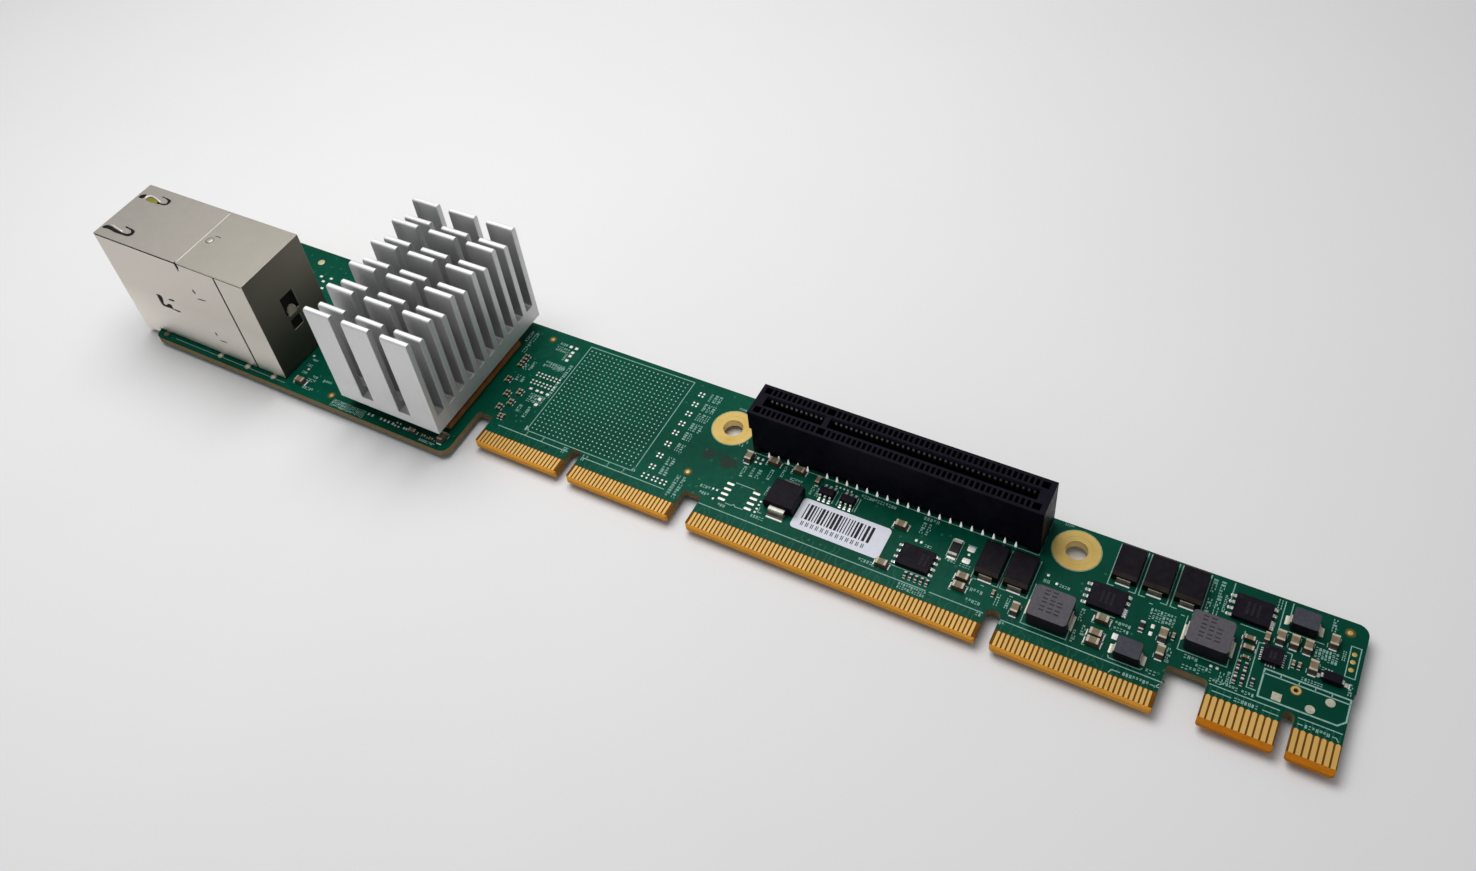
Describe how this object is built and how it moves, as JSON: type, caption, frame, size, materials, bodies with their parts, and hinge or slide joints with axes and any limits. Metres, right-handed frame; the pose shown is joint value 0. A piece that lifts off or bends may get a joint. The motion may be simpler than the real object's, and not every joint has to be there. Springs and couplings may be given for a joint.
{
  "type": "pcie riser card",
  "caption": "Long green riser card with gold edge tabs, a black expansion card slot, a stacked shielded network jack, a finned heatsink and power parts.",
  "frame": {"origin": "centre of the card's box, on the plane the card rests on (the ends of its solder pins and slot pegs)", "axes": "+X along the card from the network jack to the small edge tab, +Y from the edge tabs to the rear edge, +Z out of the component side"},
  "size_m": [0.249, 0.0374, 0.0307],
  "materials": {
    "board": "satin solder mask",
    "edge_gold": "hard gold, satin",
    "land_gold": "soft gold, matte",
    "solder": "bright solder",
    "slot_black": "moulded, satin",
    "slot_contact": "plated spring metal",
    "jack_metal": "satin nickel",
    "jack_black": "moulded, matte",
    "light_pipe": "cloudy, glossy",
    "heatsink_metal": "satin, clear anodised",
    "substrate": "satin laminate",
    "die": "polished silicon",
    "tape": "matte",
    "mould_black": "moulded, matte",
    "tin": "bright tin",
    "ferrite_grey": "pressed powder",
    "ferrite_blue": "pressed powder",
    "ceramic_tan": "matte ceramic",
    "resistor_black": "glassy film",
    "label_white": "matte paper"
  },
  "bodies": {
    "root": {"circuit_board": "board", "fine_edge_contacts_top": "edge_gold", "fine_edge_contacts_bottom": "edge_gold", "x1_edge_contacts_top": "edge_gold", "x1_edge_contacts_bottom": "edge_gold", "mounting_hole_eyelets": "land_gold", "header_hole_plating": "land_gold", "header_hole_solder": "solder", "slot_housing": "slot_black", "slot_contacts_front": "slot_contact", "slot_contacts_rear": "slot_contact", "jack_front_shield": "jack_metal", "jack_rear_cover": "jack_metal", "jack_insert": "jack_black", "jack_light_pipes": "light_pipe", "jack_contacts_upper": "edge_gold", "jack_contacts_lower": "edge_gold", "jack_magnetics_block": "jack_black", "jack_pins": "tin", "heatsink": "heatsink_metal", "thermal_tape": "tape", "controller_substrate": "substrate", "controller_die": "die", "controller_solder_balls": "solder", "power_diode_body": "mould_black", "power_diode_leads": "tin", "tantalum_bodies": "mould_black", "tantalum_straps": "tin", "power_inductor_bodies": "ferrite_grey", "power_inductor_straps": "tin", "small_inductor_bodies": "ferrite_blue", "small_inductor_straps": "tin", "power_transistor_bodies": "mould_black", "power_transistor_leads": "tin", "eight_lead_chip_body": "mould_black", "eight_lead_chip_leads": "tin", "six_lead_chip_bodies": "mould_black", "six_lead_chip_leads": "tin", "square_chip_body": "mould_black", "square_chip_leads": "tin", "small_diode_body": "mould_black", "small_diode_leads": "tin", "large_capacitor_bodies": "ceramic_tan", "large_capacitor_ends": "tin", "medium_capacitor_bodies": "ceramic_tan", "medium_capacitor_ends": "tin", "small_capacitor_bodies": "ceramic_tan", "small_capacitor_ends": "tin", "small_resistor_bodies": "resistor_black", "small_resistor_ends": "tin", "sense_resistor_body": "resistor_black", "sense_resistor_ends": "tin", "label": "label_white"}
  },
  "joints": []
}
